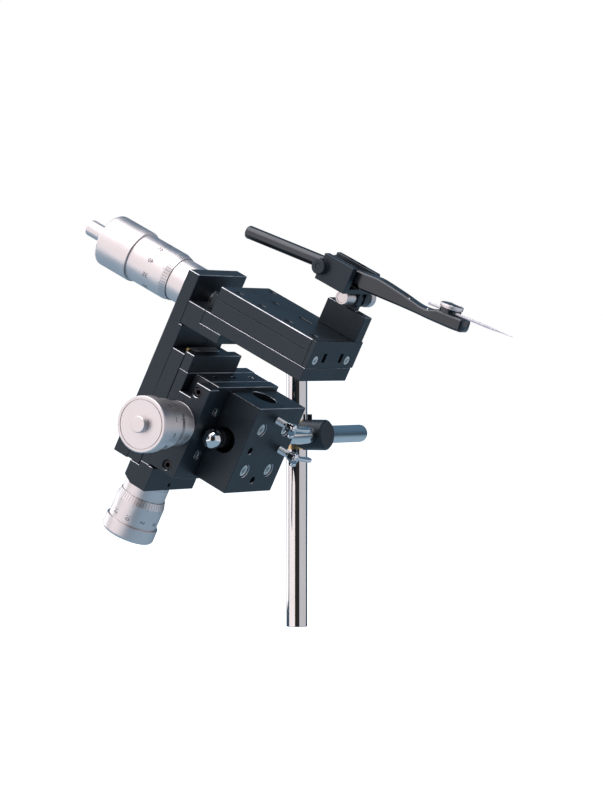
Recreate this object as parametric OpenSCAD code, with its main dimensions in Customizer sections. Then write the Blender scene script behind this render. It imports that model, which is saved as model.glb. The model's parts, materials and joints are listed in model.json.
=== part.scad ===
// Three-axis micromanipulator on a clamp rod, with a tilting electrode holder.
// World frame: +Z up the pole, +Y away along the clamp rod, +X the way the electrode points.
// Stage frame: u along the arm, v along the clamp rod, w up the column; it is pitched about v.

/* [Pole and clamp] */
// Diameter of the upright pole
pole_d = 12; // [11.5:0.1:12]
// Height of the upright pole
pole_h = 150; // [140:1:170]
// Height of the clamp rod above the foot of the pole
rod_z = 109.3; // [105:0.1:112]
// Distance from the pole axis to the clamp rod axis
rod_x = 12.4; // [12.2:0.1:13]
// Diameter of the clamp rod
rod_d = 10; // [9.6:0.1:10]
// Diameter of the ball on the near end of the rod
ball_d = 11.4; // [11:0.1:11.4]
// Outer diameter of the cross clamp barrel
barrel_d = 17.4; // [17:0.1:18]

/* [Rod block] */
// Pitch of the whole stage about the clamp rod
pitch = 26.6; // [10:0.1:40]
// Block size across the rod
block_h = 51.5; // [50:0.5:54]
// Block size along the rod
block_l = 48; // [46:0.5:50]
// Diameter of both clamping bores
block_bore_d = 14; // [13.5:0.1:14.5]

/* [Stages] */
// Length of the cross stage along the rod
cross_l = 62; // [60:0.5:64]
// Height of the cross stage
cross_h = 56; // [54:0.5:58]
// Width of the column and of the arm
stage_w = 49; // [47:0.5:50]
// Length of the arm carriage
arm_l = 66.7; // [64:0.1:68]
// Spacing of the mounting screws on the block and on the post
screw_grid = 25; // [24:0.5:26]

/* [Micrometers] */
// Outer diameter of the grip rings
ring_d = 30; // [29:0.1:30.5]
// Outer diameter of the thimbles
thimble_d = 27.6; // [27:0.1:28]
// Outer diameter of the sleeves
sleeve_d = 24.5; // [24:0.1:25]
// Diameter of the spindles
spindle_d = 5; // [4.8:0.1:5]

/* [Electrode holder] */
// Pitch of the holder against the arm
holder_pitch = 6.5; // [4:0.1:8]
// Diameter of the rear rod of the holder
holder_rod_d = 7.3; // [7:0.1:7.5]
// Length of the rear rod behind the pivot
holder_rod_l = 51.3; // [45:0.1:60]
// Diameter of the thumb nut
nut_d = 12.7; // [12:0.1:13]
// Outer diameter of the glass electrode
glass_d = 1.5; // [1.2:0.1:1.5]
// Length of the glass electrode
glass_l = 53; // [50:0.5:55]

/* [Hidden] */
$fn = 48;
gap = 0.3;              // space between faces on different bodies
fit = 0.05;             // radial clearance of a turning or sliding shaft

// cross stage, along u from the block to the column
block_front = 15.5;
block_back = -6;
base_back = -12.5;
rail_back = -23.2;
table_front = rail_back - gap;
table_back = -29.6;
slide_front = table_back - gap;
slide_back = -38.5;
plate_back = -48;
plate_front = -40.5;

// along v
block_v = -77.5;
cross_v = -83;
stage_v = -96.5;
near_v = stage_v - stage_w / 2;
cross_near = cross_v - cross_l / 2;
end_block_near = -123;

// along w
column_top = 78.5;
column_foot = -31;
slide_top = 36;
slide_foot = -30.4;
cap_top = 38;
foot_block_top = -31;
foot_block_bottom = -42.5;
arm_bottom = 55.5;
arm_split = 63.2;
plate_split = 71.9;
arm_top = 79;
bracket_bottom = 50;
arm_rear = -25.2;
arm_front = arm_rear + arm_l;

// micrometer axes and settings
cross_mic = [-17.2, 0, 0.8];
column_mic = [-32.4, -98.6, 0];
arm_mic = [0, -96.5, 64.4];
stem_d = 9.5;
small_show = 10.3;      // bare sleeve left on the cross micrometer
foot_show = 8.7;        // bare sleeve left on the column micrometer
arm_show = 17;          // bare sleeve left on the arm micrometer
small_thimble = 15.4;
foot_thimble = 16.2;
arm_thimble_l = 28;
small_ring = 8.5;
small_ring_d = 30.8;
foot_ring = 8.6;
arm_ring_l = 22.5;

// dovetail ways
way_slope = tan(30);
cross_way = 14.5;
gib_t = 1.5;
guide_way = 9.5;
guide_h = 5.3;

// clamp pole head, post and holder
post_near = -81;
post_far = -73.7;
post_rear = 15.5;
post_top = 93.5;
tilt_u = 29;
tilt_w = 99.7;
head_near = -103;
head_far = -73;
head_rear = 15;
head_front = 34.6;
head_floor = 104.2;
head_top = 119.1;
holder_u = 11.5;
holder_v = -93;
holder_w = 111.7;
pivot_h = 4.64;
pivot_drop = 0.83;
nut_at = 80.9;
nut_v = 0.9;
glass_n = 1.6;
glass_v = -1.6;

// ---- frames ----
module in_stage() {
    translate([rod_x, 0, rod_z]) rotate([0, pitch, 0]) children();
}
module in_holder() {
    in_stage() translate([holder_u, holder_v, holder_w]) rotate([0, -holder_pitch, 0]) children();
}
// a child drawn up +Z comes to lie along +u, -u, -v or -w
module along_u() { rotate([0, 90, 0]) children(); }
module back_u() { rotate([0, -90, 0]) children(); }
module along_v() { rotate([-90, 0, 0]) children(); }
module back_v() { rotate([90, 0, 0]) children(); }
module down_w() { rotate([180, 0, 0]) children(); }

// ---- shared shapes ----
// box from its lowest to its highest corner
module span(a, b) {
    translate(a) cube(b - a);
}
// socket cap screw, head below z = 0, shank going down
module cap_screw(d, l, head_h) {
    difference() {
        union() {
            translate([0, 0, -head_h]) cylinder(d = d * 1.75, h = head_h);
            translate([0, 0, -head_h - l]) cylinder(d = d, h = l);
        }
        translate([0, 0, -head_h * 0.6]) cylinder(d = d * 0.95, h = head_h, $fn = 6);
    }
}
// the hole that a cap screw sits in
module cap_screw_hole(d, l, head_h, sink) {
    translate([0, 0, -head_h - sink]) cylinder(d = d * 1.75 + 0.4, h = head_h + sink + 1);
    translate([0, 0, -head_h - sink - l]) cylinder(d = d, h = l + 1);
}
// micrometer sleeve: stem below z = 0, barrel above
module mic_sleeve(stem_l, barrel_l) {
    difference() {
        union() {
            translate([0, 0, -stem_l]) cylinder(d = stem_d, h = stem_l + 1);
            cylinder(d = sleeve_d, h = barrel_l);
        }
        translate([0, 0, -stem_l - 1]) cylinder(r = spindle_d / 2 + fit, h = stem_l + barrel_l + 2);
        translate([0, 0, 5]) cylinder(d = sleeve_d - 9, h = barrel_l);
    }
}
// micrometer thimble from its bevelled lip at z = 0
module mic_thimble(l) {
    bore_r = sleeve_d / 2 + gap;
    difference() {
        rotate_extrude() polygon([[0, 0], [bore_r + 0.25, 0], [thimble_d / 2, 4],
            [thimble_d / 2, l], [0, l]]);
        translate([0, 0, -1]) cylinder(r = bore_r, h = l + 2);
    }
}
// grip ring closed by a wall at its outer end, where the spindle is fixed; stub is a hole for a button
module mic_ring(r, l, wall_l, edge, stub) {
    difference() {
        rotate_extrude() polygon([[0, 0], [r - 0.6, 0], [r, 0.6], [r, l - edge],
            [r - edge * 0.3, l - edge * 0.3], [r - edge, l], [0, l]]);
        translate([0, 0, -1]) cylinder(r = sleeve_d / 2 + gap, h = l + 1 - wall_l);
        cylinder(d = spindle_d, h = l - wall_l / 2);
        if (stub) cylinder(r = stub_r + fit, h = l + 1);
    }
}
stub_r = 1.8;

// ---- pole and cross clamp ----
foot_tap_r = 2.5;
foot_tap_l = 12;
module pole() {
    // tapped hole in the foot for a base or a longer rod
    color("gainsboro") difference() {
        rotate_extrude($fn = 64) polygon([[0, 0], [pole_d / 2 - 0.5, 0], [pole_d / 2, 0.5],
            [pole_d / 2, pole_h - 1], [pole_d / 2 - 1, pole_h], [0, pole_h]]);
        translate([0, 0, -1]) cylinder(r = foot_tap_r, h = foot_tap_l + 1);
    }
}
liner_t = 0.6;
module pole_liner() {
    color("goldenrod") translate([0, 0, rod_z - barrel_d / 2 + 0.5]) difference() {
        cylinder(r = pole_d / 2 + fit + liner_t, h = barrel_d - 1);
        translate([0, 0, -1]) cylinder(r = pole_d / 2 + fit, h = barrel_d + 1);
        translate([-0.5, 0, -1]) cube([1, pole_d, barrel_d + 1]);
    }
}
barrel_rear = -13;
barrel_front = 20.6;
set_screw_x = 8.5;
module clamp_barrel() {
    color([0.16, 0.17, 0.19]) difference() {
        translate([barrel_rear, 0, rod_z]) along_u() rotate_extrude($fn = 64)
            polygon([[0, 0], [barrel_d / 2 - 1, 0], [barrel_d / 2, 1],
                [barrel_d / 2, barrel_front - barrel_rear - 1.6],
                [barrel_d / 2 - 1.6, barrel_front - barrel_rear], [0, barrel_front - barrel_rear]]);
        translate([0, 0, rod_z - barrel_d]) cylinder(r = pole_d / 2 + 2 * fit + liner_t, h = 2 * barrel_d);
        translate([rod_x, -barrel_d, rod_z]) along_v() cylinder(r = rod_d / 2 + fit, h = 2 * barrel_d);
        translate([barrel_rear - 1, 0, rod_z]) along_u() cylinder(r = 2 + fit, h = 9);
        translate([set_screw_x, 0, rod_z + 3]) cylinder(r = 1.5 + fit, h = 9);
    }
}
module pole_clamp_screw() {
    color([0.16, 0.17, 0.19]) translate([barrel_rear, 0, rod_z]) union() {
        along_u() cylinder(r = 2, h = 4);
        back_u() translate([0, 0, gap]) rotate_extrude()
            polygon([[0, 0], [3.5, 0], [3.5, 2], [6, 2.5], [6.5, 3], [6.5, 10], [5.7, 11], [0, 11]]);
        back_u() cylinder(r = 2, h = 2);
    }
}
module clamp_pad() {
    color("goldenrod") difference() {
        translate([barrel_rear + 4, 0, rod_z]) along_u() cylinder(r = 2, h = 3.4);
        translate([0, 0, rod_z - 5]) cylinder(r = pole_d / 2 + 2 * fit + liner_t, h = 10);
    }
}
module rod_set_screw() {
    tip = sqrt(pow(rod_d / 2, 2) - pow(rod_x - set_screw_x - 1.5, 2)) + fit;
    color([0.12, 0.12, 0.14]) difference() {
        translate([set_screw_x, 0, rod_z + tip]) cylinder(r = 1.5, h = barrel_d / 2 + 3 - tip);
        translate([set_screw_x, 0, rod_z + barrel_d / 2 + 1]) cylinder(d = 1.7, h = 3, $fn = 6);
    }
}
rod_near = -104.5;
rod_far = 52;
ball_v = -109.6;
module clamp_rod() {
    color("gainsboro") translate([rod_x, 0, rod_z]) difference() {
        translate([0, rod_near, 0]) along_v() rotate_extrude($fn = 64)
            polygon([[0, 0], [rod_d / 2 - 0.5, 0], [rod_d / 2, 0.5], [rod_d / 2, rod_far - rod_near - 2.5],
                [rod_d / 2 - 0.7, rod_far - rod_near - 0.7], [rod_d / 2 - 2.5, rod_far - rod_near],
                [0, rod_far - rod_near]]);
        translate([0, rod_near - 1, 0]) along_v() cylinder(d = 4, h = 9);
    }
}
module rod_ball() {
    color("gainsboro") translate([rod_x, 0, rod_z]) difference() {
        union() {
            translate([0, ball_v, 0]) sphere(d = ball_d, $fn = 64);
            translate([0, ball_v, 0]) along_v() cylinder(d = 4, h = rod_near + 7 - ball_v);
        }
        difference() {
            translate([0, rod_near, 0]) along_v() cylinder(d = ball_d + 1, h = ball_d);
            translate([0, rod_near - 1, 0]) along_v() cylinder(d = 4, h = ball_d + 2);
        }
    }
}

// ---- rod block ----
bore_u = (block_bore_d - rod_d) / 2 - fit;
module block_screw_places() {
    for (a = [-1, 1], b = [-1, 1])
        translate([block_front, block_v + a * screw_grid / 2, b * screw_grid / 2]) children();
}
tap_v = 15.5;
tap_w = 18.3;
tap_d = 4;
module rod_block() {
    color([0.16, 0.17, 0.19]) in_stage() difference() {
        span([block_back, block_v - block_l / 2, -block_h / 2],
            [block_front, block_v + block_l / 2, block_h / 2]);
        translate([bore_u, block_v - block_l, 0]) along_v() cylinder(d = block_bore_d, h = 2 * block_l);
        translate([bore_u, block_v, -block_h]) cylinder(d = block_bore_d, h = 2 * block_h);
        block_screw_places() along_u() cap_screw_hole(4, block_front - block_back, 4, 0.6);
        for (a = [-1, 1]) {
            translate([bore_u, block_v + a * tap_v, 0]) along_u() cylinder(d = tap_d + 2 * fit, h = 20);
            translate([bore_u, block_v, a * tap_w]) along_u() cylinder(d = tap_d + 2 * fit, h = 20);
        }
    }
}
module block_cap_screws() {
    color("silver") in_stage() block_screw_places() translate([-0.6, 0, 0]) along_u()
        cap_screw(4, block_front - block_back, 4);
}
wing_span = 20;
wing_u = 26.5;
module wing_screw(tip) {
    // shank from the tip to the hub, then two flat wings
    translate([tip, 0, 0]) along_u() cylinder(d = tap_d, h = wing_u - tip);
    translate([wing_u - 4, 0, 0]) along_u() cylinder(r1 = 2.6, r2 = 3.4, h = 4.5);
    for (a = [0, 180]) rotate([a, 0, 0]) difference() {
        translate([wing_u - 1, 0, -0.9]) linear_extrude(1.8)
            polygon([[-3, 1], [0, 3], [1.5, 6], [3.5, wing_span / 2], [5.5, wing_span / 2 - 0.6],
                [6.5, wing_span / 2 - 3], [5, 5.5], [2, 1], [0, 0]]);
        translate([wing_u - 5, -1, -1]) cube([1, 3, 2]);
    }
}
module wing_screw_rod() {
    color("gainsboro") in_stage() translate([0, block_v + tap_v, 0]) rotate([8, 0, 0])
        wing_screw(rod_d / 2 + fit);
}
module wing_screw_post() {
    color("gainsboro") in_stage() translate([0, block_v, tap_w]) rotate([12, 0, 0])
        wing_screw(bore_u + block_bore_d / 2 + 0.4);
}

// ---- cross stage, fixed half ----
base_bolt_v = 24.5;
base_bolt_w = 13;
module base_bolts() {
    for (a = [-1, 1], b = [-1, 1])
        translate([block_back, cross_v + a * base_bolt_v, b * base_bolt_w]) children();
}
module cross_base() {
    color([0.16, 0.17, 0.19]) in_stage() difference() {
        span([base_back, cross_near, -cross_h / 2], [block_back, cross_near + cross_l, cross_h / 2]);
        base_bolts() along_u() cap_screw_hole(3, 7, 2, 0.4);
        end_block_threads();
        block_screw_places() translate([-30, 0, 0]) along_u() cylinder(d = 4, h = 40);
    }
}
module way_profile(side, far_w) {
    // one rail seen along v: u across, w up
    spread = (base_back - rail_back) * way_slope;
    polygon([[rail_back, side * cross_way], [base_back, side * (cross_way + spread)],
        [base_back, side * far_w], [rail_back, side * far_w]]);
}
module cross_rails() {
    color([0.18, 0.19, 0.21]) in_stage() difference() {
        for (s = [-1, 1])
            translate([0, cross_near + cross_l - 1.5, 0]) rotate([90, 0, 0])
                linear_extrude(cross_l - 1.5) way_profile(s, cross_h / 2);
        end_block_threads();
        gib_screw_places() cylinder(d = 3, h = 20);
    }
}
module cross_rail_screws() {
    color("silver") in_stage() base_bolts() translate([-0.4, 0, 0]) along_u() cap_screw(3, 3.5, 2);
}
module cross_end_places() {
    for (s = [-1, 1]) translate([-12.3, end_block_near, s * 22]) children();
}
module end_block_threads() {
    cross_end_places() translate([0, 9, 0]) back_v() cylinder(d = 3, h = 20, center = true);
}
module cross_end_block() {
    color([0.16, 0.17, 0.19]) in_stage() difference() {
        span([rail_back, end_block_near, -26.6], [-5.2, cross_near, 26.6]);
        span([rail_back - 1, end_block_near - 1, 17.5], [-15, cross_near + 1, 30]);
        cross_end_places() back_v() cap_screw_hole(3, 10, 2.6, 0.8);
        translate([cross_mic[0], end_block_near - 1, cross_mic[2]]) along_v() cylinder(d = stem_d, h = 20);
    }
}
module end_block_screws() {
    color([0.1, 0.1, 0.12]) in_stage() cross_end_places() translate([0, 0.8, 0]) back_v()
        cap_screw(3, 9, 2.6);
}
module cross_gib() {
    // brass strip between the upper rail and the carriage
    color("goldenrod") in_stage() translate([0, cross_near + cross_l - 3, 0]) rotate([90, 0, 0])
        linear_extrude(cross_l - 9) gib_profile(cross_way, rail_back + 0.4, base_back - 0.6, rail_back);
}
module gib_profile(way, u0, u1, ref) {
    o0 = way + (u0 - ref) * way_slope;
    o1 = way + (u1 - ref) * way_slope;
    polygon([[u0, o0 - gib_t], [u1, o1 - gib_t], [u1, o1], [u0, o0]]);
}
module gib_screw_places() {
    for (a = [-18, 0, 18]) translate([-17.5, cross_v + a, cross_way + 3.2]) children();
}
module cross_gib_screws() {
    color([0.12, 0.12, 0.14]) in_stage() gib_screw_places() difference() {
        translate([0, 0, 1.8]) cylinder(d = 3, h = cross_h / 2 - cross_way - 3.2 - 2.6);
        translate([0, 0, cross_h / 2 - cross_way - 3.2 - 2]) cylinder(d = 1.6, h = 5, $fn = 6);
    }
}
module cross_sleeve() {
    color("lightgray") in_stage() translate([cross_mic[0], end_block_near, cross_mic[2]]) back_v()
        mic_sleeve(7, 19);
}

// ---- cross stage, moving half ----
tongue_near = -107.5;
tongue_far = -53.5;
module cross_carriage() {
    side = gap / cos(30);
    spread = (base_back - gap - rail_back) * way_slope;
    color([0.16, 0.17, 0.19]) in_stage() difference() {
        union() {
            span([table_back, near_v, -cross_h / 2],
                [table_front, cross_near + cross_l, cross_h / 2]);
            translate([0, tongue_far, 0]) rotate([90, 0, 0]) linear_extrude(tongue_far - tongue_near)
                polygon([[table_front - 1, -cross_way + 1.6], [table_front, -cross_way + side],
                    [rail_back, -cross_way + side],
                    [base_back - gap, -cross_way - spread + side],
                    [base_back - gap, cross_way + spread - gib_t - 2 * side],
                    [rail_back, cross_way - gib_t - 2 * side], [table_front, cross_way - gib_t - 2 * side],
                    [table_front - 1, cross_way - 4]]);
        }
        for (w = [-20, -4, 12, 24], v = [-6, 6])
            translate([table_back - 1, stage_v + v, w]) along_u() cylinder(d = 2.5, h = 6);
        // room for the sleeve when the stage comes forward
        translate([cross_mic[0], near_v - 1, cross_mic[2]]) along_v()
            cylinder(r = sleeve_d / 2 + gap, h = 4.2);
    }
}
cross_tip = tongue_near - 0.05;
cross_lip = end_block_near - small_show;
cross_wall = 3.5;
module cross_spindle() {
    l = cross_tip - cross_lip + small_thimble + small_ring - cross_wall / 2;
    color("silver") in_stage() translate([cross_mic[0], cross_tip, cross_mic[2]]) back_v()
        cylinder(d = spindle_d, h = l);
}
module cross_thimble() {
    color("lightgray") in_stage() translate([cross_mic[0], cross_lip, cross_mic[2]])
        back_v() mic_thimble(small_thimble);
}
module cross_ring() {
    color("lightgray") in_stage() translate([cross_mic[0], cross_lip - small_thimble, cross_mic[2]])
        back_v() mic_ring(small_ring_d / 2, small_ring, cross_wall, 0.8, true);
}
button_d = 9.2;
module cross_button() {
    color("lightgray") in_stage()
        translate([cross_mic[0], cross_lip - small_thimble - small_ring, cross_mic[2]])
        back_v() union() {
            translate([0, 0, -1.5]) cylinder(r = stub_r, h = 2);
            rotate_extrude() translate([0, 0.2]) polygon([[0, 0], [button_d / 2, 0],
                [button_d / 2, 3], [button_d / 2 - 0.6, 3.6], [0, 3.6]]);
        }
}
module guide_cap() {
    color([0.16, 0.17, 0.19]) in_stage()
        span([table_back, near_v, cross_h / 2], [-24, near_v + stage_w, cap_top]);
}
foot_front = -20;
foot_back = -35.8;
foot_top = foot_block_top + 0.2;
module foot_block() {
    color([0.16, 0.17, 0.19]) in_stage() difference() {
        union() {
            translate([0, near_v + stage_w, 0]) rotate([90, 0, 0]) linear_extrude(stage_w)
                polygon([[foot_back, foot_top], [table_back, foot_top], [table_back, -cross_h / 2],
                    [table_front, -cross_h / 2], [table_front, -cross_h / 2 - 0.4],
                    [foot_front, -cross_h / 2 - 0.4], [foot_front, foot_block_bottom],
                    [foot_back + 5.5, foot_block_bottom], [foot_back, foot_block_bottom + 3]]);
            translate([column_mic[0], column_mic[1], foot_block_bottom]) cylinder(d = 13.4, h = 3.5);
        }
        translate([column_mic[0], column_mic[1], foot_block_bottom - 1]) cylinder(d = stem_d, h = 4);
        translate([column_mic[0], column_mic[1], foot_block_bottom]) cylinder(d = 5.5, h = 20);
        translate([foot_front - 2, stage_v - 1.5, -39.4]) along_u() cylinder(d = 2.5, h = 5);
    }
}
guide_low = -8;
module dovetail_bar(lo, hi) {
    // along z from lo to hi, root at y = 0, spreading with depth
    translate([0, 0, lo]) linear_extrude(hi - lo)
        polygon([[-guide_way, 0], [guide_way, 0], [guide_way + guide_h * way_slope, guide_h],
            [-guide_way - guide_h * way_slope, guide_h]]);
}
module column_guide() {
    color("dimgray") in_stage() difference() {
        translate([table_back, stage_v, 0]) rotate([0, 0, 90]) dovetail_bar(guide_low, cap_top);
        for (w = [-4, 12, 24], v = [-6, 6])
            translate([table_back - guide_h - 1, stage_v + v, w]) along_u() cylinder(d = 2.5, h = 8);
    }
}
module stop_screw() {
    color("goldenrod") in_stage() translate([-34.2, near_v + 9.5, slide_top]) cylinder(d = 3.6, h = 1.8);
}
module column_sleeve() {
    color("lightgray") in_stage() translate([column_mic[0], column_mic[1], foot_block_bottom]) down_w()
        mic_sleeve(3, 19);
}

// ---- column, moving up and down ----
groove_foot = -20;
module column_slide() {
    side = gap / cos(30);
    color([0.16, 0.17, 0.19]) in_stage() difference() {
        span([slide_back, near_v, slide_foot], [slide_front, near_v + stage_w, slide_top]);
        translate([table_back + 0.01, stage_v, groove_foot]) rotate([0, 0, 90])
            linear_extrude(slide_top - groove_foot + 1)
                polygon([[-guide_way - side, -1], [guide_way + side + gib_t + side, -1],
                    [guide_way + side + gib_t + side, 0],
                    [guide_way + (guide_h + gap) * way_slope + gib_t + 2 * side, guide_h + gap],
                    [-guide_way - (guide_h + gap) * way_slope - side, guide_h + gap],
                    [-guide_way - side, 0]]);
        translate([column_mic[0], column_mic[1], slide_foot - 1])
            cylinder(r = spindle_d / 2 + fit, h = 3.1);
    }
}
module column_gib() {
    side = gap / cos(30);
    color("goldenrod") in_stage() translate([table_back, stage_v, groove_foot + 2]) rotate([0, 0, 90])
        linear_extrude(slide_top - groove_foot - 4)
            polygon([[guide_way + 2 * side + (0.5) * way_slope, 0.5],
                [guide_way + gib_t + 2 * side + (0.5) * way_slope, 0.5],
                [guide_way + gib_t + 2 * side + guide_h * way_slope, guide_h],
                [guide_way + 2 * side + guide_h * way_slope, guide_h]]);
}
module column_bolts() {
    for (w = [-14, 4, 22], a = [-1, 1]) translate([plate_back, stage_v + a * 17, w]) children();
}
module column_plate() {
    color([0.16, 0.17, 0.19]) in_stage() difference() {
        union() {
            span([plate_back, near_v, column_foot], [plate_front, near_v + stage_w, column_top]);
            span([plate_back, near_v, column_foot], [slide_back, near_v + stage_w, bracket_bottom - 0.6]);
        }
        translate([plate_back - 1, arm_mic[1], arm_mic[2]]) along_u() cylinder(d = stem_d, h = 20);
        column_bolts() back_u() cap_screw_hole(4, 14, 4, 0.5);
        bracket_bolts() back_u() cap_screw_hole(4, 20, 4, 0.5);
    }
}
module bracket_bolts() {
    for (a = [-1, 1]) translate([plate_back, stage_v + a * 15, 53.5]) children();
}
module column_screws() {
    color([0.1, 0.1, 0.12]) in_stage() {
        column_bolts() translate([0.5, 0, 0]) back_u() cap_screw(4, 5, 4);
        bracket_bolts() translate([0.5, 0, 0]) back_u() cap_screw(4, 10, 4);
    }
}
column_lip = foot_block_bottom - foot_show;
column_wall = 4;
module column_spindle() {
    low = column_lip - foot_thimble - foot_ring + column_wall / 2;
    color("silver") in_stage() translate([column_mic[0], column_mic[1], low])
        cylinder(d = spindle_d, h = slide_foot + 2 - low);
}
module column_thimble() {
    color("lightgray") in_stage() translate([column_mic[0], column_mic[1], column_lip])
        down_w() mic_thimble(foot_thimble);
}
module column_ring() {
    color("lightgray") in_stage() translate([column_mic[0], column_mic[1], column_lip - foot_thimble])
        down_w() mic_ring(ring_d / 2, foot_ring, column_wall, 2, false);
}

// ---- arm, fixed half ----
shelf_front = -14;
base_rear = -28.7;
spindle_room = 3.2;
module arm_bracket() {
    color([0.16, 0.17, 0.19]) in_stage() difference() {
        union() {
            span([plate_front, near_v, bracket_bottom], [base_rear, near_v + stage_w, arm_split]);
            span([plate_front, near_v, bracket_bottom], [shelf_front, near_v + stage_w, arm_bottom]);
        }
        span([plate_front - 1, arm_mic[1] - spindle_room, arm_mic[2] - spindle_room],
            [base_rear + 1, arm_mic[1] + spindle_room, arm_split + 1]);
        bracket_bolts() along_u() cylinder(d = 4, h = 16);
    }
}
module arm_base() {
    color([0.16, 0.17, 0.19]) in_stage() difference() {
        span([base_rear, near_v, arm_bottom], [arm_front - 0.4, near_v + stage_w - 0.8, arm_split]);
        span([base_rear - 1, arm_mic[1] - spindle_room, arm_mic[2] - spindle_room],
            [-9, arm_mic[1] + spindle_room, arm_split + 1]);
    }
}
guide_rear = -8;
guide_front = 28;
module arm_guide() {
    color("dimgray") in_stage() translate([0, stage_v, arm_split])
        rotate([90, 0, 90]) dovetail_bar(guide_rear, guide_front);
}
module arm_sleeve() {
    color("lightgray") in_stage() translate([plate_back, arm_mic[1], arm_mic[2]]) back_u()
        mic_sleeve(7.2, 31);
}

// ---- arm, moving half ----
carriage_low = arm_split + gap;
end_plate_t = 3;
slot_v = 8.7;
module arm_carriage() {
    side = gap / cos(30);
    color([0.16, 0.17, 0.19]) in_stage() difference() {
        union() {
            span([arm_rear, near_v, carriage_low], [arm_front - end_plate_t, near_v + stage_w, plate_split]);
            span([arm_rear - 7.4, near_v + 8, carriage_low], [arm_rear, near_v + stage_w - 8, plate_split]);
        }
        translate([-24.5, stage_v, arm_split]) rotate([90, 0, 90]) linear_extrude(arm_l)
            polygon([[-guide_way - side, -1], [guide_way + side, -1], [guide_way + side, 0],
                [guide_way + (guide_h + gap) * way_slope + side, guide_h + gap],
                [-guide_way - (guide_h + gap) * way_slope - side, guide_h + gap],
                [-guide_way - side, 0]]);
        end_screw_places() back_u() translate([0, 0, end_plate_t - 1]) cylinder(d = 3, h = 9);
        top_screw_places() down_w() translate([0, 0, 4]) cylinder(d = 2.5, h = 8);
    }
}
module top_screw_places() {
    for (p = [[-17, -18], [-2, -17], [17, -17], [34, -16.5], [-5.6, 2.5], [-19, 19]])
        translate([p[0], stage_v + p[1], arm_top]) children();
}
plate_slot_u = 15;
module arm_top_plate() {
    color([0.16, 0.17, 0.19]) in_stage() difference() {
        span([arm_rear, near_v, plate_split], [arm_front - end_plate_t, near_v + stage_w, arm_top]);
        top_screw_places() cap_screw_hole(2.5, 9, 1.5, 0.3);
        for (a = [-1, 1]) translate([plate_slot_u + a * 3, -93.5, arm_top - 3]) cylinder(d = 2.8, h = 4);
        translate([plate_slot_u - 3, -93.5 - 1.4, arm_top - 3]) cube([6, 2.8, 4]);
        post_screw_places() {
            cylinder(d = 3, h = 12);
            translate([0, 0, -1]) cylinder(d = 5.6, h = 3.4);
        }
    }
}
module top_plate_screws() {
    color([0.25, 0.25, 0.28]) in_stage() top_screw_places() translate([0, 0, -0.3])
        cap_screw(2.5, 6.5, 1.5);
}
module end_screw_places() {
    for (a = [-1, 1]) translate([arm_front, stage_v - 1.2 + a * 16.7, 67.9]) children();
}
module arm_end_plate() {
    color([0.16, 0.17, 0.19]) in_stage() difference() {
        span([arm_front - end_plate_t, near_v, carriage_low], [arm_front, near_v + stage_w, arm_top]);
        for (a = [-1, 1])
            translate([arm_front - 5, stage_v - 1 + a * slot_v - 1.6, 66.7]) cube([7, 3.2, 5.2]);
        end_screw_places() along_u() cap_screw_hole(3, 6, 1.6, 0.1);
    }
}
module end_plate_screws() {
    color("silver") in_stage() end_screw_places() translate([-0.1, 0, 0]) along_u() cap_screw(3, 5, 1.6);
}
pusher_rear = arm_rear - 7.4;
arm_lip = plate_back - arm_show;
arm_wall = 10;
module arm_spindle() {
    l = pusher_rear - arm_lip + arm_thimble_l + arm_ring_l - arm_wall / 2;
    color("silver") in_stage() translate([pusher_rear - fit, arm_mic[1], arm_mic[2]]) back_u()
        cylinder(d = spindle_d, h = l - fit);
}
module arm_thimble() {
    color("lightgray") in_stage() translate([arm_lip, arm_mic[1], arm_mic[2]]) back_u()
        mic_thimble(arm_thimble_l);
}
module arm_ring() {
    color("lightgray") in_stage() translate([arm_lip - arm_thimble_l, arm_mic[1], arm_mic[2]]) back_u()
        mic_ring(ring_d / 2, arm_ring_l, arm_wall, 2, true);
}
ratchet_l = 15.5;
module arm_ratchet() {
    color("lightgray") in_stage()
        translate([arm_lip - arm_thimble_l - arm_ring_l, arm_mic[1], arm_mic[2]]) back_u() union() {
            translate([0, 0, gap]) rotate_extrude() polygon([[0, 0], [3.6, 0], [3.6, 1.5], [4.6, 2.2],
                [4.6, ratchet_l - 0.6], [4, ratchet_l], [0, ratchet_l]]);
            translate([0, 0, -4]) cylinder(r = stub_r, h = 5);
        }
}

// ---- post and tilting head ----
post_mid_u = (post_rear + arm_front) / 2;
post_mid_v = (post_near + post_far) / 2;
tongue_t = 3.6;
tilt_hole = 4;
tongue_r = 4.2;
cheek_t = 2.6;
module post_screw_places() {
    for (a = [-1, 1]) translate([post_mid_u + a * 6.5, post_mid_v, plate_split]) children();
}
module post() {
    color([0.16, 0.17, 0.19]) in_stage() difference() {
        union() {
            span([post_rear, post_near, arm_top], [arm_front, post_far, post_top]);
            translate([tilt_u, post_mid_v - tongue_t / 2, tilt_w]) along_v()
                cylinder(r = tongue_r, h = tongue_t);
            span([tilt_u - 4, post_mid_v - tongue_t / 2, post_top - 1],
                [tilt_u + 4, post_mid_v + tongue_t / 2, tilt_w - 0.5]);
        }
        translate([tilt_u, post_near - 10, tilt_w]) along_v() cylinder(r = tilt_hole / 2 + fit, h = 30);
        post_screw_places() cylinder(d = 3, h = arm_top - plate_split + 7);
    }
}
module post_screws() {
    color([0.1, 0.1, 0.12]) in_stage() post_screw_places() rotate([180, 0, 0]) cap_screw(3, 10.5, 2.2);
}
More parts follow.
